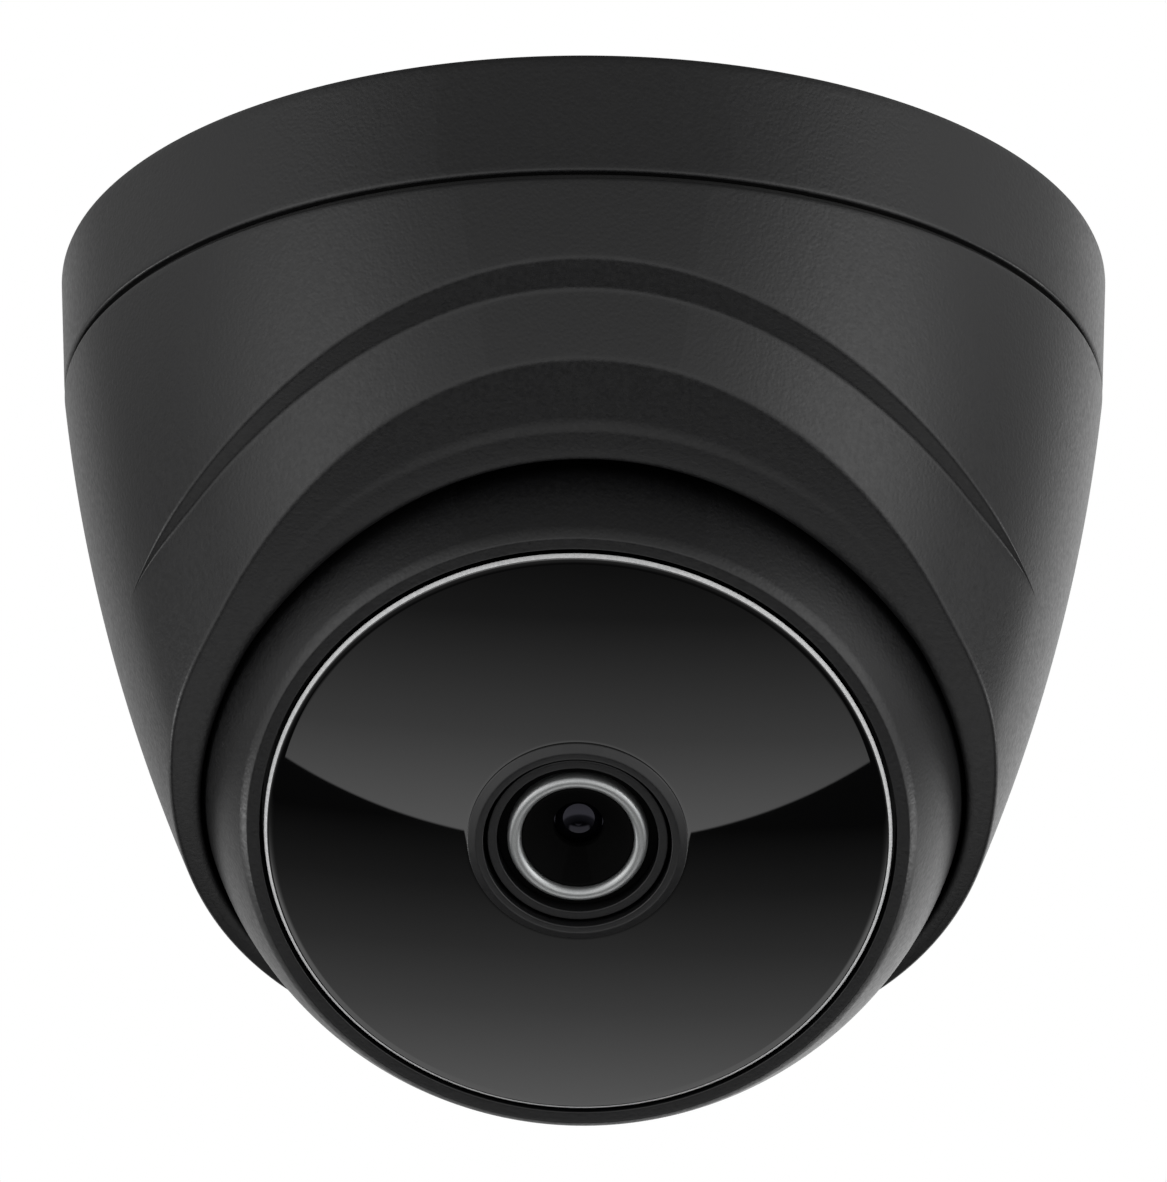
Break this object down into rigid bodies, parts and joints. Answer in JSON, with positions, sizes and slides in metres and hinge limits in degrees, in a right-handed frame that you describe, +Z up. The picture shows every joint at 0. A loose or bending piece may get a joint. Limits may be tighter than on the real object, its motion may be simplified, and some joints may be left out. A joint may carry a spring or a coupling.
{
  "type": "dome security camera",
  "caption": "Black turret dome camera for a ceiling: fixed base, turning bowl housing with a slanted mouth, and a ball that pans, tilts and rolls behind a round glossy window.",
  "frame": {"origin": "centre of the face that meets the ceiling", "axes": "+Z up into the ceiling, -Y towards the side that the mouth and the lens face, +X to the right of someone who looks along +Y"},
  "size_m": [0.0854, 0.0854, 0.0688],
  "materials": {
    "base_plastic": "fine grained moulding",
    "housing_plastic": "fine grained moulding",
    "ball_plastic": "fine grained moulding",
    "ring_plastic": "smooth moulding",
    "window_acrylic": "polished",
    "lens_black": "matt black coat",
    "collar_plastic": "satin",
    "pale_ring": "turned and bead blasted",
    "lens_glass": "coated",
    "rubber_black": "matt",
    "steel_zinc": "zinc plated",
    "brass_plain": "plain",
    "board_green": "solder mask",
    "cream_nylon": "smooth",
    "ceramic_dark": "glass topped",
    "lamp_epoxy": "clear smoked epoxy",
    "sensor_epoxy": "amber epoxy",
    "glide_plastic": "low friction"
  },
  "bodies": {
    "base": {"mounting_base": "base_plastic", "ceiling_gasket": "rubber_black", "glide_ring": "glide_plastic"},
    "housing": {"lower_housing": "housing_plastic", "retainer_ring": "steel_zinc", "retainer_screws": "steel_zinc"},
    "pan_ring": {"friction_ring": "ring_plastic", "friction_lining": "rubber_black"},
    "hub": {"cable_gland": "rubber_black", "gland_clip": "steel_zinc"},
    "eyeball": {"front_shell": "ball_plastic", "rear_shell": "ball_plastic", "shell_seal": "rubber_black", "shell_screws": "steel_zinc", "front_window": "window_acrylic", "window_tape": "rubber_black", "lens_collar": "collar_plastic", "light_baffle": "rubber_black", "lens_barrel": "lens_black", "lens_nose": "lens_black", "lens_retaining_ring": "pale_ring", "lens_front_element": "lens_glass", "lens_spacer": "lens_black", "lens_second_element": "lens_glass", "aperture_stop": "lens_black", "lens_third_element": "lens_glass", "lens_holder": "ring_plastic", "ir_cut_filter": "lens_glass", "image_sensor": "ceramic_dark", "sensor_board": "board_green", "power_board": "board_green", "board_spacers": "brass_plain", "board_screws": "steel_zinc", "board_connector": "cream_nylon", "signal_lead": "rubber_black", "ir_led_board": "board_green", "ir_leds": "lamp_epoxy", "light_sensor": "sensor_epoxy", "led_board_screws": "steel_zinc", "ribbon_cable": "cream_nylon"}
  },
  "joints": [
    {"name": "housing_turn", "type": "hinge", "parent": "base", "child": "housing", "pos_m": [0, 0, -0.0103], "axis": [0, 0, 1], "range_deg": [-175, 175]},
    {"name": "ball_pan", "type": "hinge", "parent": "housing", "child": "pan_ring", "pos_m": [0, 0, -0.03923], "axis": [0, 0, 1], "range_deg": [-22.7, 27.3]},
    {"name": "ball_tilt", "type": "hinge", "parent": "pan_ring", "child": "hub", "pos_m": [0, 0, -0.03923], "axis": [0.9992, -0.0401, 0], "range_deg": [-34.4, 40.6]},
    {"name": "ball_roll", "type": "hinge", "parent": "hub", "child": "eyeball", "pos_m": [0, 0, -0.03923], "axis": [-0.0261, -0.6502, -0.7593], "range_deg": [-175, 175]}
  ]
}
